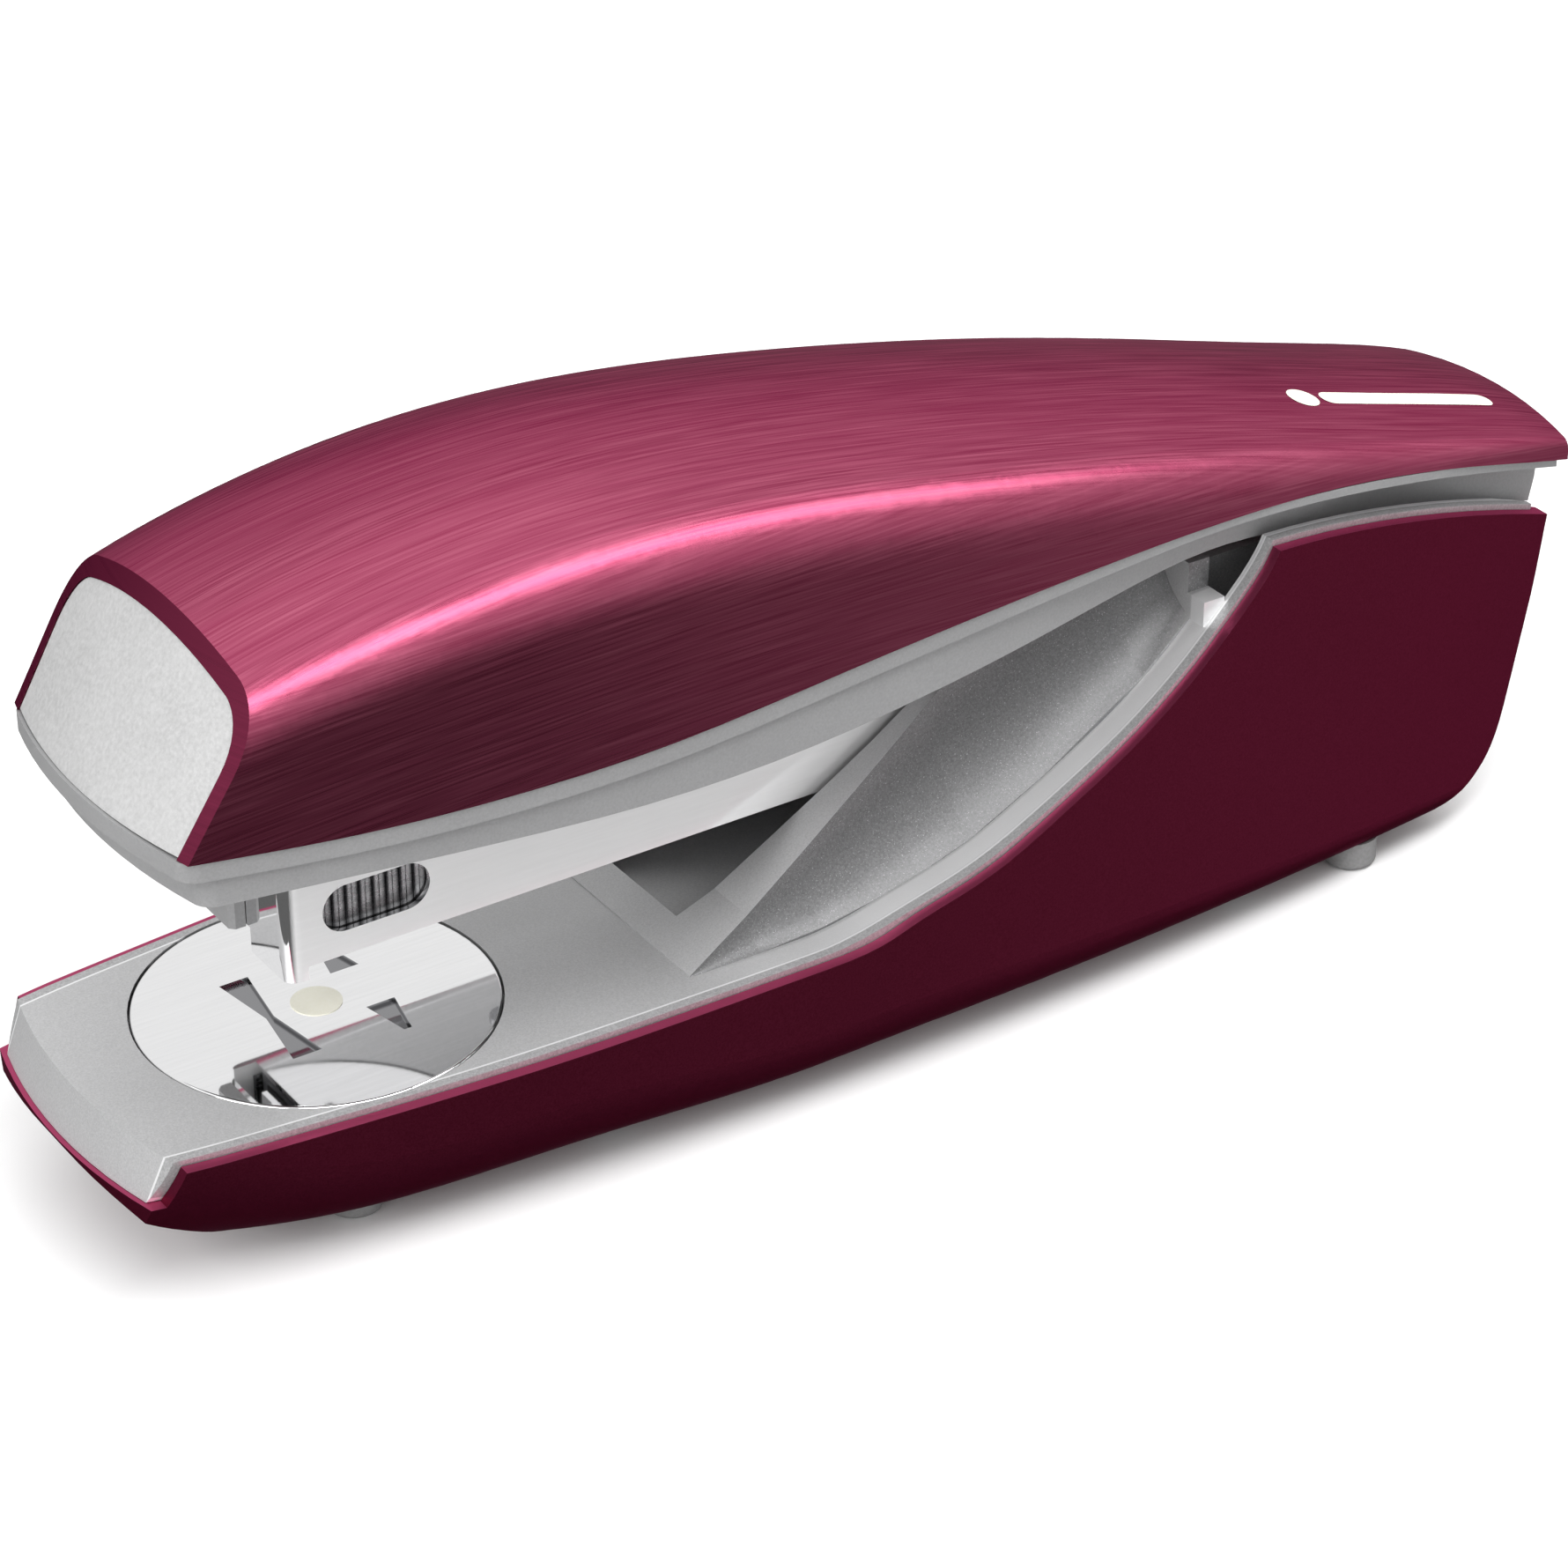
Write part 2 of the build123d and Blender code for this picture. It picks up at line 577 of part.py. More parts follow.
with BuildPart() as magazine_channel:
    add(box(mag_front, 131, -mag_half, mag_half, mag_low, mag_high))
    add(box(mag_front, -4.2, -mag_half, -0.1, 7.8, mag_low + 1))
    fillet(magazine_channel.edges().filter_by(Axis.Z).group_by(Axis.X)[0].group_by(Axis.Y)[0], 1.5)
    fillet(magazine_channel.edges().filter_by(Axis.Z).group_by(Axis.X)[0].group_by(Axis.Y)[-1], 1.5)
    add(channel_core.part, mode=Mode.SUBTRACT)
    add(box(front_inner, exit_rear, -channel_inner, channel_inner, 5, 12), mode=Mode.SUBTRACT)
    add(box(mag_front - 1, front_inner, -0.1, 9, 5, 10.4), mode=Mode.SUBTRACT)
    with BuildSketch(side_plane()):
        with Locations((3.05, 14.1)):
            SlotOverall(11.1, 4.8)
    extrude(amount=far / 2, both=True, mode=Mode.SUBTRACT)
    add(box(108, 140, -far, far, 0, 40), mode=Mode.SUBTRACT)
    for side in (-1, 1):
        with BuildSketch(side_plane(side * (mag_half + channel_inner) / 2)):
            with Locations((pin_x, pin_z)):
                Circle(5)
            Polygon((107.9, mag_low), (pin_x - 1, pin_z - 4.9), (pin_x + 1, pin_z + 4.9), (107.9, 19),
                    align=None)
        extrude(amount=mag_wall / 2, both=True)
    with BuildSketch(side_plane()):
        Polygon((95, mag_high), (107.9, 19), (108.5, 18.8), (108.5, 30), (95, 30), align=None)
    extrude(amount=far / 2, both=True, mode=Mode.SUBTRACT)
    add(rod(pin_x, 0, pin_z, pin_r + fit, far / 2, "y"), mode=Mode.SUBTRACT)
    for z in peg_heights:
        add(rod(mag_front - 1, peg_y, z, peg_r, 2, "x"), mode=Mode.SUBTRACT)
    for x, y in channel_rivets:
        add(rod(x, y, mag_low - 1, rivet_r, 4), mode=Mode.SUBTRACT)
magazine_channel.part.label = "magazine_channel"
export_step(magazine_channel.part, "parts/magazine_channel.step")

# Lug that steers the front staple, on the face of the channel.
with BuildPart() as nose_guide:
    add(box(mag_front - 1.6, mag_front - 0.05, 0.6, 6.2, 10.2, mag_high))
    chamfer(nose_guide.edges().filter_by(Axis.Z).group_by(Axis.X)[0], 0.5)
    for z in peg_heights:
        add(rod(mag_front - 0.1, peg_y, z, peg_r, 0.6, "x"))
nose_guide.part.label = "nose_guide"
export_step(nose_guide.part, "parts/nose_guide.step")

rail_low = mag_low + mag_wall + 0.05
with BuildPart() as staple_rail:
    add(box(exit_rear + 0.05, rail_end, -rail_half, rail_half, rail_low, rail_top))
    add(box(exit_rear - 1, rail_end + 1, rail_wall - rail_half, rail_half - rail_wall,
            rail_low + rail_wall, 30), mode=Mode.SUBTRACT)
    for x, y in channel_rivets:
        add(rod(x, y, mag_low - 1, rivet_r, 4), mode=Mode.SUBTRACT)
staple_rail.part.label = "staple_rail"
export_step(staple_rail.part, "parts/staple_rail.step")

# Square-wire staples that straddle the rail.
crown_low = rail_top + 0.05
with BuildPart() as staple_strip:
    for count in range(staple_count):
        with BuildSketch(cross_plane(strip_x + count * staple_pitch)):
            with Locations((0, crown_low + staple_wire - staple_leg / 2)):
                Rectangle(2 * staple_half, staple_leg)
            with Locations((0, crown_low - staple_leg / 2)):
                Rectangle(2 * (staple_half - staple_wire), staple_leg, mode=Mode.SUBTRACT)
        extrude(amount=staple_wire)
staple_strip.part.label = "staple_strip"
export_step(staple_strip.part, "parts/staple_strip.step")

follower_x = strip_x + staple_count * staple_pitch + 0.1
with BuildPart() as follower:
    add(box(follower_x, follower_x + follower_len, -4.4, 4.4, rail_low + rail_wall + 0.15, crown_low))
    add(box(follower_x, follower_x + follower_len, -6.3, 6.3, crown_low, follower_top))
    for y in (-6.3, 5.75):
        add(box(follower_x, follower_x + follower_len, y, y + 0.55, 11, crown_low + 0.1))
    add(rod(follower_x - 1, 0, rod_z, rod_r + 0.1, follower_len + 2, "x"), mode=Mode.SUBTRACT)
follower.part.label = "follower"
export_step(follower.part, "parts/follower.step")

rod_front = follower_x - 12
block_x = 99.0
with BuildPart() as follower_rod:
    add(rod(rod_front, 0, rod_z, rod_r, block_x + 6 - rod_front, "x"))
    chamfer(follower_rod.edges().filter_by(GeomType.CIRCLE), 0.3)
follower_rod.part.label = "follower_rod"
export_step(follower_rod.part, "parts/follower_rod.step")

with BuildPart() as rear_block:
    add(box(block_x, block_x + 5, -4.5, 4.5, rail_low + rail_wall + 0.05, 17))
    add(rod(block_x - 1, 0, rod_z, rod_r, 9, "x"), mode=Mode.SUBTRACT)
rear_block.part.label = "rear_block"
export_step(rear_block.part, "parts/rear_block.step")

spring_front = follower_x + follower_len + 0.4
with BuildPart() as follower_spring:
    with BuildLine():
        turns = Helix(pitch=2.4, height=block_x - 0.4 - spring_front, radius=1.9,
                      center=(anvil_x + spring_front, 0, deck_z + rod_z), direction=(1, 0, 0))
    with BuildSketch(Plane(origin=turns @ 0, z_dir=turns % 0)):
        Circle(0.22)
    sweep()
follower_spring.part.label = "follower_spring"
export_step(follower_spring.part, "parts/follower_spring.step")

with BuildPart() as magazine_rivets:
    for x, y in channel_rivets:
        add(rod(x, y, mag_low - 0.4, 1.5, 0.4))
        add(rod(x, y, mag_low, rivet_r, rail_low + rail_wall - mag_low))
magazine_rivets.part.label = "magazine_rivets"
export_step(magazine_rivets.part, "parts/magazine_rivets.step")

# ================================ arm ================================
above_cover = [(-30, 80), (145, 80)]
over_edge = side_strip(cover_edge, above_cover)
cover_inner = cover_form(cover_wall, 12)

with BuildPart() as top_cover:
    add(cover_form(0, 14))
    add(cover_inner, mode=Mode.SUBTRACT)
    add(over_edge, mode=Mode.INTERSECT)
    add(raked_trim(0), mode=Mode.INTERSECT)
    add(plan_solid(wide_plan, 0, -60, cover_rear, 15, 60), mode=Mode.INTERSECT)
top_cover.part.label = "top_cover"
export_step(top_cover.part, "parts/top_cover.step")

# Light panel that closes the cover's raked front.
panel_t = 2.0
panel_set_back = 0.15
with BuildPart() as front_panel:
    add(cover_form(cover_wall + 0.12, 12))
    add(raked_trim(panel_set_back), mode=Mode.INTERSECT)
    add(raked_trim(panel_set_back + panel_t), mode=Mode.SUBTRACT)
    add(box(-40, 20, -far, far, 30.4, 70), mode=Mode.INTERSECT)
front_panel.part.label = "front_panel"
export_step(front_panel.part, "parts/front_panel.step")

# Grey housing: a lip under the cover's edge, a skirt below it, a tongue inside the cover,
# and two cross ribs that carry the hammer frame.
lip_front = -22.4
lip_rear = 139.6
tongue_inset = cover_wall + 0.2
tongue_rise = 5.0
skirt_front = -20.5
skirt_rear = 138.0
rib_low = 30.9
rib_high = 33.5
rib_spots = ((8.0, 17.5, 30.8), (60.0, 18.3, 29.2))
below_edge = [(x, z - 0.08) for x, z in cover_edge]

with BuildPart() as skirt:
    add(plan_solid(skirt_plan, 0, skirt_front, 160, 10, 40, 2.0))
    with BuildSketch(side_plane()):
        Polygon((-60, 0), (skirt_rear - 3.2, 8), (skirt_rear - 0.2, 20), (skirt_rear, 22), (skirt_rear, 60),
                (-60, 60), align=None)
    extrude(amount=far / 2, both=True, mode=Mode.INTERSECT)
    add(side_strip(skirt_edge, below_edge), mode=Mode.INTERSECT)

with BuildPart() as lip:
    add(plan_solid(cover_plan, 0.3, lip_front, lip_rear, 10, 60, 2.0))
    add(side_strip(lip_edge, below_edge), mode=Mode.INTERSECT)

with BuildPart() as tongue:
    add(cover_form(tongue_inset, 12))
    add(raked_trim(panel_set_back + panel_t + 0.2), mode=Mode.INTERSECT)
    add(plan_solid(wide_plan, 0, -60, cover_rear - cover_wall, 10, 60), mode=Mode.INTERSECT)
    add(side_strip(below_edge, cover_edge, -0.1, tongue_rise), mode=Mode.INTERSECT)

with BuildPart() as inner_housing:
    add(skirt.part)
    add(lip.part)
    add(tongue.part)
    add(plan_solid(skirt_plan, skirt_wall, skirt_front + skirt_wall, skirt_rear - 3.2 - skirt_wall, 5, 60),
        mode=Mode.SUBTRACT)
    for x, half, low in rib_spots:
        add(box(x - 3, x + 3, -half, half, rib_low, rib_high))
        add(rod(x, 0, low, 3.0, rib_low - low + 0.5))
        add(rod(x, 0, low - 1, 1.25, 10), mode=Mode.SUBTRACT)
inner_housing.part.label = "inner_housing"
export_step(inner_housing.part, "parts/inner_housing.step")

# Steel hammer frame, an inverted channel on the hinge pin, with the driver blade at its nose.
frame_front = blade_x + blade_t
frame_top = [(frame_front, 31), (60, 29), (105, 25.5), (128, 15.5)]
frame_bottom = [(pin_x + 3, pin_z), (pin_x - 4, pin_z - 3), (112, 17), (100, 19.5), (60, 22.6),
                (frame_front, 25.6)]
rivet_y = 3.0            # rivets that hold the blade to the frame
rivet_z = 29.0
blade_rivet_r = 0.8
with BuildPart() as frame_inside:
    with BuildSketch(side_plane()):
        Polygon(*[(x, z - frame_t) for x, z in frame_top], (150, 10), (150, 0), (frame_front + frame_t, 0),
                (frame_front + frame_t, 31 - frame_t), align=None)
    extrude(amount=frame_half - frame_t, both=True)

with BuildPart() as hammer_frame:
    with BuildSketch(side_plane()):
        Polygon(*frame_top, *frame_bottom, align=None)
        with Locations((pin_x, pin_z)):
            Circle(5)
    extrude(amount=frame_half, both=True)
    add(frame_inside.part, mode=Mode.SUBTRACT)
    add(rod(pin_x, 0, pin_z, pin_r + fit, far / 2, "y"), mode=Mode.SUBTRACT)
    for x, half, low in rib_spots:
        add(rod(x, 0, 25, 1.25, 10), mode=Mode.SUBTRACT)
    for y in (-rivet_y, rivet_y):
        add(rod(blade_x - 1, y, rivet_z, blade_rivet_r, 5, "x"), mode=Mode.SUBTRACT)
hammer_frame.part.label = "hammer_frame"
export_step(hammer_frame.part, "parts/hammer_frame.step")

with BuildPart() as driver_blade:
    add(box(blade_x, blade_x + blade_t, -frame_half, frame_half, follower_top, 31))
    for y in (-rivet_y, rivet_y):
        add(rod(blade_x - 1, y, rivet_z, blade_rivet_r, 5, "x"), mode=Mode.SUBTRACT)
driver_blade.part.label = "driver_blade"
export_step(driver_blade.part, "parts/driver_blade.step")

with BuildPart() as driver_rivets:
    for y in (-rivet_y, rivet_y):
        add(rod(blade_x, y, rivet_z, blade_rivet_r, blade_t + frame_t, "x"))
        add(rod(blade_x - 0.5, y, rivet_z, 1.2, 0.5, "x"))
        add(rod(blade_x + blade_t + frame_t, y, rivet_z, 1.2, 0.5, "x"))
driver_rivets.part.label = "driver_rivets"
export_step(driver_rivets.part, "parts/driver_rivets.step")

with BuildPart() as housing_screws:
    for x, half, low in rib_spots:
        add(rod(x, 0, low - 2.2, 1.2, rib_high - low + 2.2))
        add(rod(x, 0, rib_high, 2.4, 1.2))
        with BuildSketch(deck_plane(rib_high + 1.2)):
            with Locations((x, 0)):
                Rectangle(3.2, 0.6)
                Rectangle(0.6, 3.2)
        extrude(amount=-0.6, mode=Mode.SUBTRACT)
housing_screws.part.label = "housing_screws"
export_step(housing_screws.part, "parts/housing_screws.step")
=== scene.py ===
import bpy
import bmesh
import json
import math
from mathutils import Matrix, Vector
from mathutils.bvhtree import BVHTree


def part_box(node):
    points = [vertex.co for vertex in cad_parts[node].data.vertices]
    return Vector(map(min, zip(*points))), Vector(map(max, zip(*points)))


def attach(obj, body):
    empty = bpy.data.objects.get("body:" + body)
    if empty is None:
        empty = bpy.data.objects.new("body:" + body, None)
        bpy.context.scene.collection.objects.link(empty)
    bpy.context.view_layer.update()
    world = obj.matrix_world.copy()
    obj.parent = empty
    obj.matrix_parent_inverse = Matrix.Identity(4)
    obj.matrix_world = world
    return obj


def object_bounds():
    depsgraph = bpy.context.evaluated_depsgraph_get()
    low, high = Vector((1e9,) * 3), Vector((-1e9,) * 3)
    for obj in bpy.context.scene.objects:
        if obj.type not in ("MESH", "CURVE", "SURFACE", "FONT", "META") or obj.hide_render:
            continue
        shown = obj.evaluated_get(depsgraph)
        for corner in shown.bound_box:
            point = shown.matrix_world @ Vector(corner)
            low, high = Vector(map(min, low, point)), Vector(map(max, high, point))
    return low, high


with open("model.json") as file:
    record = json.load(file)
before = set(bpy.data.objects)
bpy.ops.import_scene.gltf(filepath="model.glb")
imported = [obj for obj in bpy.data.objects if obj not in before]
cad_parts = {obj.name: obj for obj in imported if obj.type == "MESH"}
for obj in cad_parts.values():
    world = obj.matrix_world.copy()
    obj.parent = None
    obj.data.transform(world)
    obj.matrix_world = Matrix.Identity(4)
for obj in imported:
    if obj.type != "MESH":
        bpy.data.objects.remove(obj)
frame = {"nodes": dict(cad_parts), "record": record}
cad_low, cad_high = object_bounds()
nodes = frame["nodes"]
scene = bpy.context.scene

MM = 0.001
disc_low, disc_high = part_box("anvil_plate")
# The datum is the anvil's centre, on the deck. "Along" is X: the stapler's rear has the higher values.
DATUM = Vector(((disc_low.x + disc_high.x) / 2, 0.0, disc_high.z))


def at(x, y, z):
    """The point, in metres, that lies x, y and z millimetres from the datum."""
    return DATUM + Vector((x, y, z)) * MM


def along(x):
    """The X, in metres, of a place given in millimetres from the datum."""
    return at(x, 0, 0).x


def above(z):
    """The Z, in metres, of a height given in millimetres from the datum."""
    return at(0, 0, z).z


# ------------------------------------------------------------------ shader node helpers
ARCH_CENTRE = 42.0     # an arched pattern is highest here, in millimetres along


def computed(tree, operation, first, second=None):
    """One step of arithmetic on a socket; the second value is a number, a socket or left out."""
    node = tree.nodes.new("ShaderNodeMath")
    node.operation = operation
    tree.links.new(first, node.inputs[0])
    if isinstance(second, bpy.types.NodeSocket):
        tree.links.new(second, node.inputs[1])
    elif second is not None:
        node.inputs[1].default_value = second
    return node.outputs[0]


def toward(tree, vector, direction):
    """How far a unit vector points along a direction: 1 along it, 0 square to it."""
    node = tree.nodes.new("ShaderNodeVectorMath")
    node.operation = "DOT_PRODUCT"
    node.inputs[1].default_value = Vector(direction).normalized()
    tree.links.new(vector, node.inputs[0])
    return node.outputs["Value"]


def parts_of(tree, vector):
    """The sockets "X", "Y" and "Z" of a vector."""
    node = tree.nodes.new("ShaderNodeSeparateXYZ")
    tree.links.new(vector, node.inputs[0])
    return node.outputs


def place_of(tree):
    """X, Y and Z of the shaded point in the object's own space, in metres."""
    return parts_of(tree, tree.nodes.new("ShaderNodeTexCoord").outputs["Object"])


def normal_of(tree):
    """The direction in which the shaded surface faces."""
    return tree.nodes.new("ShaderNodeNewGeometry").outputs["Normal"]


def spread(tree, value, low, high, start=0.3, end=0.7):
    """Stretches a value from start..end to low..high, and holds it there beyond them."""
    node = tree.nodes.new("ShaderNodeMapRange")
    node.inputs["From Min"].default_value = start
    node.inputs["From Max"].default_value = end
    node.inputs["To Min"].default_value = low
    node.inputs["To Max"].default_value = high
    tree.links.new(value, node.inputs["Value"])
    return node.outputs["Result"]


def band(tree, distance, start, end, softness=0.02):
    """1 where a distance lies between start and end, else 0; the three numbers are millimetres."""
    rising = spread(tree, distance, 0.0, 1.0, (start - softness) * MM, (start + softness) * MM)
    falling = spread(tree, distance, 1.0, 0.0, (end - softness) * MM, (end + softness) * MM)
    return computed(tree, "MULTIPLY", rising, falling)


def blended(tree, factor, first, second):
    """A value that goes from first to second with the factor."""
    node = tree.nodes.new("ShaderNodeMix")
    tree.links.new(factor, node.inputs["Factor"])
    tree.links.new(first, node.inputs[2])
    tree.links.new(second, node.inputs[3])
    return node.outputs[0]


def mixed(tree, factor, first, second):
    """A mix of two colours; each is a colour or another socket."""
    node = tree.nodes.new("ShaderNodeMix")
    node.data_type = "RGBA"
    tree.links.new(factor, node.inputs["Factor"])
    for socket, colour in ((node.inputs[6], first), (node.inputs[7], second)):
        if isinstance(colour, bpy.types.NodeSocket):
            tree.links.new(colour, socket)
        else:
            socket.default_value = (*colour, 1)
    return node.outputs[2]


def arched(tree, place, arch):
    """The place, raised by arch times the square of its distance along from the arch's centre."""
    parts = parts_of(tree, place)
    distance = computed(tree, "SUBTRACT", parts["X"], along(ARCH_CENTRE))
    rise = computed(tree, "MULTIPLY", computed(tree, "MULTIPLY", distance, distance), arch)
    joined = tree.nodes.new("ShaderNodeCombineXYZ")
    tree.links.new(parts["X"], joined.inputs["X"])
    tree.links.new(parts["Y"], joined.inputs["Y"])
    tree.links.new(computed(tree, "ADD", parts["Z"], rise), joined.inputs["Z"])
    return joined.outputs["Vector"]


def noise(tree, scale, detail=2.0, roughness=0.5, offset=0.0, arch=0.0):
    """Noise in object space; scale is in cells per metre along X, Y and Z. With an arch, level
    lines of the pattern fall away on both sides of the arch's centre."""
    place = tree.nodes.new("ShaderNodeTexCoord").outputs["Object"]
    if arch:
        place = arched(tree, place, arch)
    mapping = tree.nodes.new("ShaderNodeMapping")
    mapping.inputs["Scale"].default_value = scale
    mapping.inputs["Location"].default_value = (offset, offset, offset)
    texture = tree.nodes.new("ShaderNodeTexNoise")
    texture.inputs["Scale"].default_value = 1.0
    texture.inputs["Detail"].default_value = detail
    texture.inputs["Roughness"].default_value = roughness
    tree.links.new(place, mapping.inputs["Vector"])
    tree.links.new(mapping.outputs["Vector"], texture.inputs["Vector"])
    return texture.outputs["Fac"]


def bump(tree, shader, height, depth, strength):
    """Bump whose depth is in metres."""
    node = tree.nodes.new("ShaderNodeBump")
    node.inputs["Distance"].default_value = depth
    node.inputs["Strength"].default_value = strength
    tree.links.new(height, node.inputs["Height"])
    tree.links.new(node.outputs["Normal"], shader.inputs["Normal"])


# ------------------------------------------------------------------ camera, lights and sky
CAMERA_AT = (-164.6, -324.7, 239.0)      # millimetres from the datum
CAMERA_ELEVATION = 30.81                 # degrees by which it looks down
CAMERA_AZIMUTH = -33.72                  # its turn about Z, in degrees, from a view along +Y
LENS_MM = 107.2
SENSOR_MM = 36.0
NEAREST = 0.01                           # metres from the camera at which things begin to show

# Name, place, target, size and power: millimetres from the datum, then metres, then watts.
LIGHTS = (
    ("shoulder_strip", (135, -190, 480), (60, -15, 40), (0.95, 0.11), 2.3),
    ("overhead", (0, 160, 620), (40, 0, 30), (0.9, 0.5), 0.5),
    ("front_fill", (-520, -160, 330), (-20, 0, 30), (0.4, 0.4), 2.1),
)

SKY_STRENGTH = 0.86
SKY_ENDS = (0.10, 1.0)                   # grey straight down and straight up
# Height and grey between the ends; the horizon is at 0.5.
SKY_GREYS = ((0.38, 0.16), (0.52, 0.36), (0.66, 0.82), (0.75, 0.98))
GLOW_FROM = (0.78, -0.50, -0.38)         # a soft glow from the near right, on the base's flank
GLOW_SPREAD = 0.86                       # cosine of the angle at which the glow ends
GLOW_STRENGTH = 0.36


def make_camera():
    data = bpy.data.cameras.new("camera")
    data.lens = LENS_MM
    data.sensor_width = SENSOR_MM
    data.clip_start = NEAREST
    camera = bpy.data.objects.new("camera", data)
    camera.location = at(*CAMERA_AT)
    camera.rotation_euler = (math.radians(90 - CAMERA_ELEVATION), 0, math.radians(CAMERA_AZIMUTH))
    scene.collection.objects.link(camera)
    bpy.context.scene.camera = camera


def make_light(name, place, target, size, power):
    """A rectangular light that faces its target."""
    data = bpy.data.lights.new(name, "AREA")
    data.shape = "RECTANGLE"
    data.size, data.size_y = size
    data.energy = power
    light = bpy.data.objects.new(name, data)
    light.location = at(*place)
    light.rotation_euler = (at(*target) - at(*place)).to_track_quat("-Z", "Y").to_euler()
    scene.collection.objects.link(light)


def sky_greys(tree, direction):
    """The dome's grey, by height."""
    ramp = tree.nodes.new("ShaderNodeValToRGB")
    height = spread(tree, parts_of(tree, direction)["Z"], 0.0, 1.0, -1.0, 1.0)
    tree.links.new(height, ramp.inputs["Fac"])
    stops = ramp.color_ramp.elements
    for stop, value in zip(stops, SKY_ENDS):
        stop.color = (value, value, value, 1)
    for place, value in SKY_GREYS:
        stop = stops.new(place)
        stop.color = (value, value, value, 1)
    return ramp.outputs["Color"]


def make_world():
    """A soft dome, bright overhead, dim at the horizon and darker below it, with one glow."""
    world = bpy.data.worlds.new("studio")
    scene.world = world
    world.use_nodes = True
    tree = world.node_tree
    direction = tree.nodes.new("ShaderNodeTexCoord").outputs["Generated"]
    glow = tree.nodes.new("ShaderNodeMapRange")
    glow.interpolation_type = "SMOOTHSTEP"
    glow.inputs["From Min"].default_value = GLOW_SPREAD
    glow.inputs["To Max"].default_value = GLOW_STRENGTH
    tree.links.new(toward(tree, direction, GLOW_FROM), glow.inputs["Value"])
    total = tree.nodes.new("ShaderNodeMix")
    total.data_type = "RGBA"
    total.blend_type = "ADD"
    total.inputs["Factor"].default_value = 1.0
    tree.links.new(sky_greys(tree, direction), total.inputs[6])
    tree.links.new(glow.outputs["Result"], total.inputs[7])
    background = tree.nodes["Background"]
    background.inputs["Strength"].default_value = SKY_STRENGTH
    tree.links.new(total.outputs[2], background.inputs["Color"])


# ------------------------------------------------------------------ materials
SIDE_ARCH = 1.2        # brush lines on the cover's sides fall by this times the distance squared
# Place along the base and its half width there, in millimetres.
BASE_PLAN = ((-30, 15.6), (-20, 17.4), (-10, 18.5), (10, 20.3), (30, 21.0), (50, 21.2),
             (72, 20.7), (92, 19.3), (110, 17.5), (125, 15.5), (142, 12.9))
WIDEST = 25.0          # a half width of this much is 1 on the base's curve

# Edges of the insert's regions: how far in from the base's side they lie, in millimetres.
OUTSIDE = -1.0         # safely beyond the side
RIM_STRIP = 2.3        # the outer strip ends here
RIM_LINE = 2.52        # the painted highlight line beside it ends here
LEVEL_BAND = 4.9       # the level band beside the line ends here
SCOOP_FADE = (4.0, 4.6)      # the scoops begin between these
BAND_FADE = (30, 50)   # the level band's painted light grows between these places along

GROOVE_FADE = (-0.30, -0.05)     # the anvil's grooves get a painted shade below the first of these heights
SIDE_FADE = (1.0, 2.0)           # satin sides begin between these heights
STAPLE_PITCH = 0.7
LEG_FADE = (1.8, 3.4)            # a staple's legs are in shade up to the first, from their ends up
STREAK_SHADE = 0.88              # how dark the streaks of bare metal are against its colour


def new_material(name, **sockets):
    """A Principled material with constant values on the shader's own sockets."""
    material = bpy.data.materials.new(name)
    material.use_nodes = True
    shader = material.node_tree.nodes["Principled BSDF"]
    for socket, value in sockets.items():
        shader.inputs[socket.replace("_", " ")].default_value = value
    return material, material.node_tree, shader


def brushed_burgundy():
    """Anodised metal brushed along its length; the cut front edge is not brushed."""
    dark, light = (0.300, 0.040, 0.092), (0.50, 0.125, 0.205)
    middle, cut_edge = (0.375, 0.063, 0.132), (0.24, 0.030, 0.075)
    material, tree, shader = new_material("brushed_burgundy_metal", Metallic=1.0, Coat_Weight=0.05,
                                          Coat_Roughness=0.32, Specular_Tint=(0.76, 0.42, 0.53, 1))
    normal = normal_of(tree)
    upward = spread(tree, parts_of(tree, normal)["Z"], 0.0, 1.0, 0.50, 0.86)
    fine = blended(tree, upward, noise(tree, (75, 0, 4200), 2.0, 0.6, arch=SIDE_ARCH),
                   noise(tree, (75, 4200, 0), 2.0, 0.6, 1.7))
    broad = blended(tree, upward, noise(tree, (26, 0, 1100), 3.0, 0.6, 3.1, SIDE_ARCH),
                    noise(tree, (26, 1100, 0), 3.0, 0.6, 4.4))
    cloud = noise(tree, (22, 60, 60), 2.0, 0.5, 8.4)
    streaks = mixed(tree, spread(tree, fine, 0.0, 1.0), dark, light)
    wide = mixed(tree, spread(tree, broad, 0.0, 0.6), streaks, middle)
    edge = spread(tree, toward(tree, normal, (-1.0, 0.0, 0.6)), 0.0, 1.0, 0.90, 0.94)
    tree.links.new(mixed(tree, edge, wide, cut_edge), shader.inputs["Base Color"])
    rough = computed(tree, "ADD", spread(tree, fine, 0.25, 0.38), spread(tree, cloud, -0.02, 0.03))
    tree.links.new(rough, shader.inputs["Roughness"])
    bump(tree, shader, computed(tree, "ADD", fine, broad), 0.000010, 0.5)
    return material


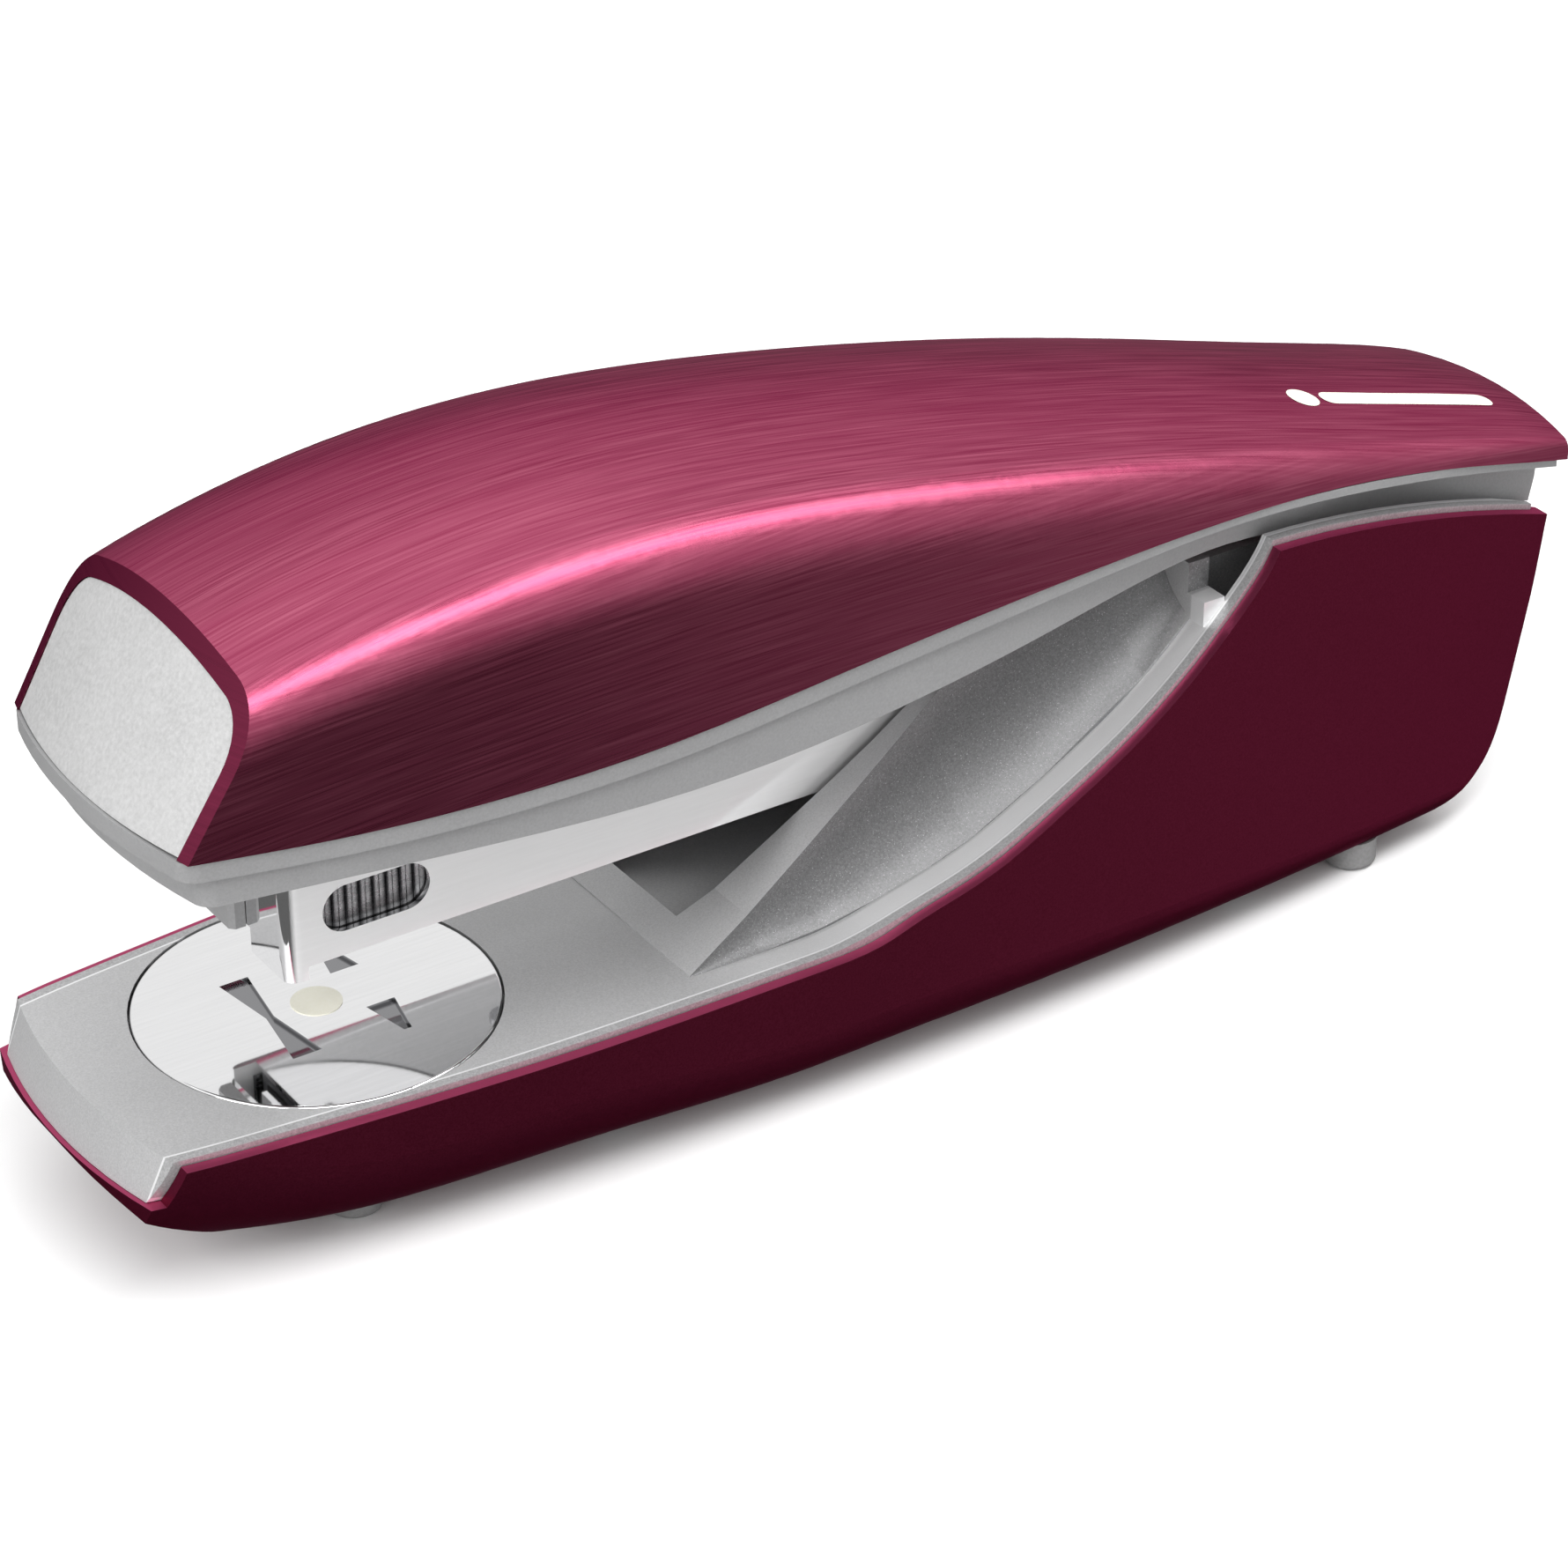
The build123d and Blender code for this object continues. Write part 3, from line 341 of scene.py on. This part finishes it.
def burgundy_shell():
    """Satin metallic burgundy with very fine flakes; faces that look up, as at the rim, get a lighter
    colour that is a painted sheen.
    """
    dark, light, rim_painted_sheen_colour = (0.130, 0.010, 0.030), (0.180, 0.018, 0.048), (0.46, 0.075, 0.165)
    material, tree, shader = new_material("satin_burgundy", Metallic=0.92, Coat_Weight=0.04,
                                          Coat_Roughness=0.3, Specular_Tint=(0.75, 0.30, 0.45, 1))
    flakes = noise(tree, (5200, 5200, 5200), 2.0, 0.7)
    cloud = noise(tree, (35, 35, 35), 3.0, 0.5, 5.0)
    base = mixed(tree, spread(tree, flakes, 0.0, 1.0), dark, light)
    # Painted sheen: faces that look up, as at the rim, are painted lighter for the light they catch.
    rim = spread(tree, parts_of(tree, normal_of(tree))["Z"], 0.0, 1.0, 0.35, 0.80)
    tree.links.new(mixed(tree, rim, base, rim_painted_sheen_colour), shader.inputs["Base Color"])
    rough = computed(tree, "ADD", spread(tree, flakes, 0.33, 0.41), spread(tree, cloud, -0.03, 0.03))
    tree.links.new(rough, shader.inputs["Roughness"])
    bump(tree, shader, flakes, 0.000006, 0.5)
    return material


def base_half_width(tree, x):
    """Half width of the base in plan, in metres, at this place along it."""
    first, last = BASE_PLAN[0][0], BASE_PLAN[-1][0]
    spots = [((place - first) / (last - first), half / WIDEST) for place, half in BASE_PLAN]
    curve = tree.nodes.new("ShaderNodeFloatCurve")
    points = curve.mapping.curves[0].points
    points[0].location = spots[0]
    points[1].location = spots[-1]
    for spot in spots[1:-1]:
        points.new(*spot)
    curve.mapping.update()
    tree.links.new(spread(tree, x, 0.0, 1.0, along(first), along(last)), curve.inputs["Value"])
    return computed(tree, "MULTIPLY", curve.outputs["Value"], WIDEST * MM)


def insert_regions(tree):
    """Where the scoops, the outer strip, the painted highlight line and the painted-light level band are:
    1 there, else 0.
    """
    place = place_of(tree)
    across = computed(tree, "ABSOLUTE", parts_of(tree, normal_of(tree))["Y"])
    from_middle = computed(tree, "ABSOLUTE", place["Y"])
    inward = computed(tree, "SUBTRACT", base_half_width(tree, place["X"]), from_middle)
    far_in = spread(tree, inward, 0.0, 1.0, SCOOP_FADE[0] * MM, SCOOP_FADE[1] * MM)
    # The scoops are found by facing sideways; the darker grey painted there is painted shade.
    scoop = computed(tree, "MULTIPLY", spread(tree, across, 0.0, 1.0, 0.20, 0.45), far_in)
    strip = band(tree, inward, OUTSIDE, RIM_STRIP)
    painted_highlight_line = band(tree, inward, RIM_STRIP, RIM_LINE, 0.04)
    rearward = spread(tree, place["X"], 0.0, 1.0, along(BAND_FADE[0]), along(BAND_FADE[1]))
    level_band_painted_light = computed(tree, "MULTIPLY", rearward, band(tree, inward, RIM_LINE, LEVEL_BAND, 0.15))
    return scoop, strip, painted_highlight_line, level_band_painted_light


def silver_plastic():
    """Silver plastic: a fine sparkle on the deck and the bands, coarser in the scoops, where the darker
    grey is painted shade.
    """
    deck_greys = (0.50, 0.50, 0.505), (0.62, 0.62, 0.625)
    scoop_painted_shade_greys = (0.15, 0.15, 0.153), (0.25, 0.25, 0.253)
    strip_greys = (0.36, 0.36, 0.365), (0.60, 0.60, 0.605)
    band_painted_light_grey, brightest = (0.88, 0.88, 0.885), (0.92, 0.92, 0.93)
    material, tree, shader = new_material("grained_silver_plastic", Metallic=0.55)
    fine = noise(tree, (5600, 5600, 5600), 2.0, 0.6)
    coarse = noise(tree, (4200, 4200, 4200), 3.0, 0.7, 1.3)
    flecks = noise(tree, (8200, 8200, 8200), 1.0, 0.5, 2.2)
    cloud = noise(tree, (60, 60, 60), 3.0, 0.5, 6.0)
    scoop, strip, painted_highlight_line, level_band_painted_light = insert_regions(tree)
    rough_area = computed(tree, "MAXIMUM", scoop, strip)
    grain = blended(tree, rough_area, fine, coarse)
    shade = spread(tree, grain, 0.0, 1.0)
    # Painted shade: the scoops get a darker grey; their coarser grain is the plastic's own.
    colour = mixed(tree, scoop, mixed(tree, shade, *deck_greys), mixed(tree, shade, *scoop_painted_shade_greys))
    colour = mixed(tree, strip, colour, mixed(tree, shade, *strip_greys))
    # Painted highlight: a thin bright line beside the outer strip, where a step's edge would catch the
    # light.
    colour = mixed(tree, painted_highlight_line, colour, brightest)
    # Painted light: the level band is painted lighter for the light it catches facing up, more so towards
    # the rear.
    colour = mixed(tree, computed(tree, "MULTIPLY", level_band_painted_light, 0.75), colour, band_painted_light_grey)
    strength = spread(tree, rough_area, 0.2, 0.5, 0.0, 1.0)
    sparkle = computed(tree, "MULTIPLY", spread(tree, flecks, 0.0, 0.7, 0.66, 0.74), strength)
    tree.links.new(mixed(tree, sparkle, colour, brightest), shader.inputs["Base Color"])
    rough = computed(tree, "ADD", spread(tree, grain, 0.38, 0.50), spread(tree, cloud, -0.04, 0.04))
    tree.links.new(rough, shader.inputs["Roughness"])
    height = blended(tree, rough_area, computed(tree, "MULTIPLY", fine, 0.4), coarse)
    bump(tree, shader, height, 0.00003, 0.55)
    return material


def moulded(name, dark, light, rough, grain_scale, grain_depth, metallic=0.0):
    """Moulded plastic or rubber with its own grain and a faint unevenness."""
    material, tree, shader = new_material(name, Metallic=metallic)
    grain = noise(tree, (grain_scale,) * 3, 3.0, 0.6)
    cloud = noise(tree, (90, 90, 90), 3.0, 0.5, 4.0)
    factor = computed(tree, "ADD", spread(tree, grain, 0.0, 0.7), spread(tree, cloud, 0.0, 0.3))
    tree.links.new(mixed(tree, factor, dark, light), shader.inputs["Base Color"])
    tree.links.new(spread(tree, grain, rough - 0.06, rough + 0.06), shader.inputs["Roughness"])
    bump(tree, shader, grain, grain_depth, 0.6)
    return material


def smears(tree):
    """The faint smears that bare metal has in its gloss."""
    return noise(tree, (140, 140, 140), 3.0, 0.6, 7.0)


def bare_metal(name, colour, rough, streak_scale, depth):
    """Plated or turned metal: streaks along one direction and a faint smear in the gloss."""
    material, tree, shader = new_material(name, Metallic=1.0)
    streak = noise(tree, streak_scale, 2.0, 0.6)
    dark = tuple(part * STREAK_SHADE for part in colour)
    tree.links.new(mixed(tree, spread(tree, streak, 0.0, 1.0), dark, colour), shader.inputs["Base Color"])
    tree.links.new(spread(tree, smears(tree), rough * 0.7, rough * 1.4), shader.inputs["Roughness"])
    bump(tree, shader, streak, depth, 0.4)
    return material


def chrome():
    """Mirror plating: clean on the top faces, satin on upright sides, with a painted shade in the anvil's
    grooves.
    """
    dark, light, groove_painted_shade_grey = (0.91, 0.91, 0.915), (0.95, 0.95, 0.955), (0.30, 0.30, 0.31)
    material, tree, shader = new_material("mirror_chrome")
    streak = noise(tree, (120, 2500, 2500), 2.0, 0.6)
    height = place_of(tree)["Z"]
    across = computed(tree, "ABSOLUTE", parts_of(tree, normal_of(tree))["Y"])
    # Painted shade: the grooves are painted dark below a height, for the shade inside them.
    groove_painted_shade = spread(tree, height, 1.0, 0.0, above(GROOVE_FADE[0]), above(GROOVE_FADE[1]))
    raised = spread(tree, height, 0.0, 1.0, above(SIDE_FADE[0]), above(SIDE_FADE[1]))
    side = computed(tree, "MULTIPLY", spread(tree, across, 0.0, 1.0, 0.80, 0.95), raised)
    plated = mixed(tree, spread(tree, streak, 0.0, 1.0), dark, light)
    tree.links.new(mixed(tree, groove_painted_shade, plated, groove_painted_shade_grey), shader.inputs["Base Color"])
    tree.links.new(spread(tree, side, 1.0, 0.30, 0.0, 1.0), shader.inputs["Metallic"])
    satin = spread(tree, side, 0.0, 0.08, 0.0, 1.0)
    rough = computed(tree, "ADD", spread(tree, smears(tree), 0.030, 0.055), satin)
    tree.links.new(rough, shader.inputs["Roughness"])
    bump(tree, shader, streak, 0.0000004, 0.4)
    return material


def staples():
    """Galvanised wire, shaded towards the legs' ends, with a dark line at every second staple."""
    dark, light = (0.80, 0.80, 0.82), (0.92, 0.92, 0.94)
    line_grey, leg_grey = (0.06, 0.06, 0.065), (0.10, 0.10, 0.105)
    material, tree, shader = new_material("galvanised_wire", Metallic=0.9)
    place = place_of(tree)
    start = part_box("staple_strip")[0]
    from_start = computed(tree, "SUBTRACT", place["X"], start.x)
    turns = computed(tree, "FRACT", computed(tree, "DIVIDE", from_start, 2 * STAPLE_PITCH * MM))
    before, after = spread(tree, turns, 1.0, 0.0, 0.10, 0.30), spread(tree, turns, 0.0, 1.0, 0.70, 0.90)
    joint = computed(tree, "ADD", before, after)
    low = spread(tree, place["Z"], 1.0, 0.0, start.z + LEG_FADE[0] * MM, start.z + LEG_FADE[1] * MM)
    wear = noise(tree, (500, 1800, 1800), 2.0, 0.6)
    wire = mixed(tree, spread(tree, wear, 0.0, 1.0), dark, light)
    lined = mixed(tree, joint, wire, line_grey)
    shaded = mixed(tree, computed(tree, "MULTIPLY", low, 0.75), lined, leg_grey)
    tree.links.new(shaded, shader.inputs["Base Color"])
    tree.links.new(spread(tree, wear, 0.2, 0.32), shader.inputs["Roughness"])
    bump(tree, shader, joint, 0.00004, 0.5)
    return material


def make_materials():
    """Every material, by the slot name that the record gives it."""
    return {
        "brushed_burgundy": brushed_burgundy(),
        "burgundy_shell": burgundy_shell(),
        "silver_plastic": silver_plastic(),
        "grey_plastic": moulded("matt_grey_plastic", (0.25, 0.25, 0.253), (0.31, 0.31, 0.313),
                                0.46, 3800, 0.00001, 0.15),
        "panel_silver": moulded("fine_panel_silver", (0.44, 0.44, 0.44), (0.58, 0.58, 0.58),
                                0.42, 2300, 0.00003, 0.30),
        "foot_rubber": moulded("grey_rubber", (0.19, 0.19, 0.19), (0.27, 0.27, 0.27), 0.62, 2600, 0.00004),
        "bright_chrome": chrome(),
        "ivory_plastic": moulded("ivory_plastic", (0.92, 0.90, 0.76), (0.97, 0.955, 0.84),
                                 0.40, 3000, 0.00001),
        "white_plastic": moulded("white_plastic", (0.74, 0.74, 0.72), (0.84, 0.84, 0.82),
                                 0.42, 3000, 0.00001),
        "black_plastic": moulded("black_plastic", (0.025, 0.025, 0.027), (0.055, 0.055, 0.06),
                                 0.45, 2600, 0.00002),
        "zinc_steel": bare_metal("zinc_steel", (0.62, 0.63, 0.66), 0.32, (300, 1500, 1500), 0.000006),
        "pin_steel": bare_metal("turned_steel", (0.66, 0.66, 0.68), 0.22, (2200, 400, 400), 0.000003),
        "spring_steel": bare_metal("spring_steel", (0.50, 0.50, 0.53), 0.28, (900, 900, 900), 0.000003),
        "staple_wire": staples(),
    }


# ------------------------------------------------------------------ CAD nodes
# Width of the rounds on each node's sharp edges, in millimetres.
EDGE_ROUND = {"top_cover": 0.22, "base_shell": 0.22, "base_insert": 0.28, "inner_housing": 0.35,
              "front_panel": 0.3, "magazine_channel": 0.1, "nose_guide": 0.2, "anvil_button": 0.06,
              "follower": 0.3, "rear_block": 0.3, "hammer_frame": 0.15, "hinge_bracket": 0.2,
              "chassis_plate": 0.15, "staple_rail": 0.12}
SHARP_ANGLE = 38       # degrees between two faces from which their edge is rounded
ROUND_STEPS = 3


def round_edges(piece, width):
    """Small rounds on the sharp edges of a CAD node, shaded so that its faces stay even."""
    modifier = piece.modifiers.new("edge_round", "BEVEL")
    modifier.width = width * MM
    modifier.segments = ROUND_STEPS
    modifier.limit_method = "ANGLE"
    modifier.angle_limit = math.radians(SHARP_ANGLE)
    modifier.use_clamp_overlap = True
    modifier.harden_normals = True
    modifier.miter_outer = "MITER_ARC"


def finish_nodes(materials):
    """Gives each CAD node the material that the record names, and its edge rounds."""
    slots = {row["node"]: row["material_slot"] for row in frame["record"]["subparts"]}
    for name, piece in nodes.items():
        piece.data.materials.clear()
        piece.data.materials.append(materials[slots[name]])
        if name in EDGE_ROUND:
            round_edges(piece, EDGE_ROUND[name])


# ------------------------------------------------------------------ generic mark on the cover
# All in millimetres from the datum.
MARK_START = 110.0     # the disc's centre along the cover
MARK_SIDE = -6.0       # the middle line of the disc and the bar, to the near side of the cover's middle
MARK_RADIUS = 1.7
BAR_FROM, BAR_TO = 113.5, 134.0      # the centres of the bar's round ends
BAR_HALF = 1.15
MARK_LIFT = 0.03       # how far the mark lies above the cover's surface
OVER_COVER = 80        # a height above all of the cover
DISC_STEPS, END_STEPS, SIDE_STEPS = 28, 10, 12


def mark_outline():
    """The disc's rim and the bar's rim, in plan, in millimetres from the datum."""
    disc = [(MARK_START + MARK_RADIUS * math.cos(turn), MARK_SIDE + MARK_RADIUS * math.sin(turn))
            for turn in (math.tau * step / DISC_STEPS for step in range(DISC_STEPS))]
    half_turns = [math.pi * step / END_STEPS for step in range(END_STEPS + 1)]
    rear = [(BAR_TO + BAR_HALF * math.sin(turn), MARK_SIDE - BAR_HALF * math.cos(turn))
            for turn in half_turns]
    front = [(BAR_FROM - BAR_HALF * math.sin(turn), MARK_SIDE + BAR_HALF * math.cos(turn))
             for turn in half_turns]
    near_side = [(BAR_FROM + (BAR_TO - BAR_FROM) * step / SIDE_STEPS, MARK_SIDE - BAR_HALF)
                 for step in range(1, SIDE_STEPS)]
    far_side = [(x, MARK_SIDE + BAR_HALF) for x, _ in reversed(near_side)]
    return disc, near_side + rear + far_side + front


def add_mark(material):
    """A disc and a rounded bar laid on the cover's top; they stand for the maker's printed mark."""
    cover = nodes["top_cover"]
    surface = BVHTree.FromPolygons([cover.matrix_world @ v.co for v in cover.data.vertices],
                                   [p.vertices for p in cover.data.polygons])
    for name, rim in zip(("mark_disc", "mark_bar"), mark_outline()):
        shape = bmesh.new()
        shape.faces.new([shape.verts.new((x, y, 0)) for x, y in rim])
        bmesh.ops.triangulate(shape, faces=shape.faces)
        bmesh.ops.subdivide_edges(shape, edges=shape.edges, cuts=2)
        for vert in shape.verts:
            hit, normal, _, _ = surface.ray_cast(at(vert.co.x, vert.co.y, OVER_COVER), Vector((0, 0, -1)))
            vert.co = hit + normal * MARK_LIFT * MM
        mesh = bpy.data.meshes.new(name)
        shape.normal_update()
        shape.to_mesh(mesh)
        shape.free()
        for face in mesh.polygons:
            face.use_smooth = True
        piece = bpy.data.objects.new(name, mesh)
        scene.collection.objects.link(piece)
        mesh.materials.append(material)
        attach(piece, "arm")


# ------------------------------------------------------------------ floor
FLOOR_HALF = 3.0       # metres from its middle to each side
FLOOR_DROP = 0.1       # millimetres between the feet and the floor


def make_floor():
    """A pale floor under the feet; reflections don't show it, so the flanks stay dark."""
    mesh = bpy.data.meshes.new("floor")
    floor = bpy.data.objects.new("floor", mesh)
    scene.collection.objects.link(floor)
    shape = bmesh.new()
    bmesh.ops.create_grid(shape, x_segments=1, y_segments=1, size=FLOOR_HALF)
    shape.to_mesh(mesh)
    shape.free()
    floor.location.z = cad_low.z - FLOOR_DROP * MM
    material, tree, shader = new_material("pale_floor", Roughness=0.85)
    paper = spread(tree, noise(tree, (40, 40, 40), 4.0, 0.5), 0.0, 1.0)
    tree.links.new(mixed(tree, paper, (0.94, 0.94, 0.94), (0.97, 0.97, 0.97)), shader.inputs["Base Color"])
    mesh.materials.append(material)
    floor.visible_glossy = False


make_camera()
make_world()
for light in LIGHTS:
    make_light(*light)
materials = make_materials()
finish_nodes(materials)
add_mark(materials["ivory_plastic"])
make_floor()

scene.view_settings.view_transform = "Standard"
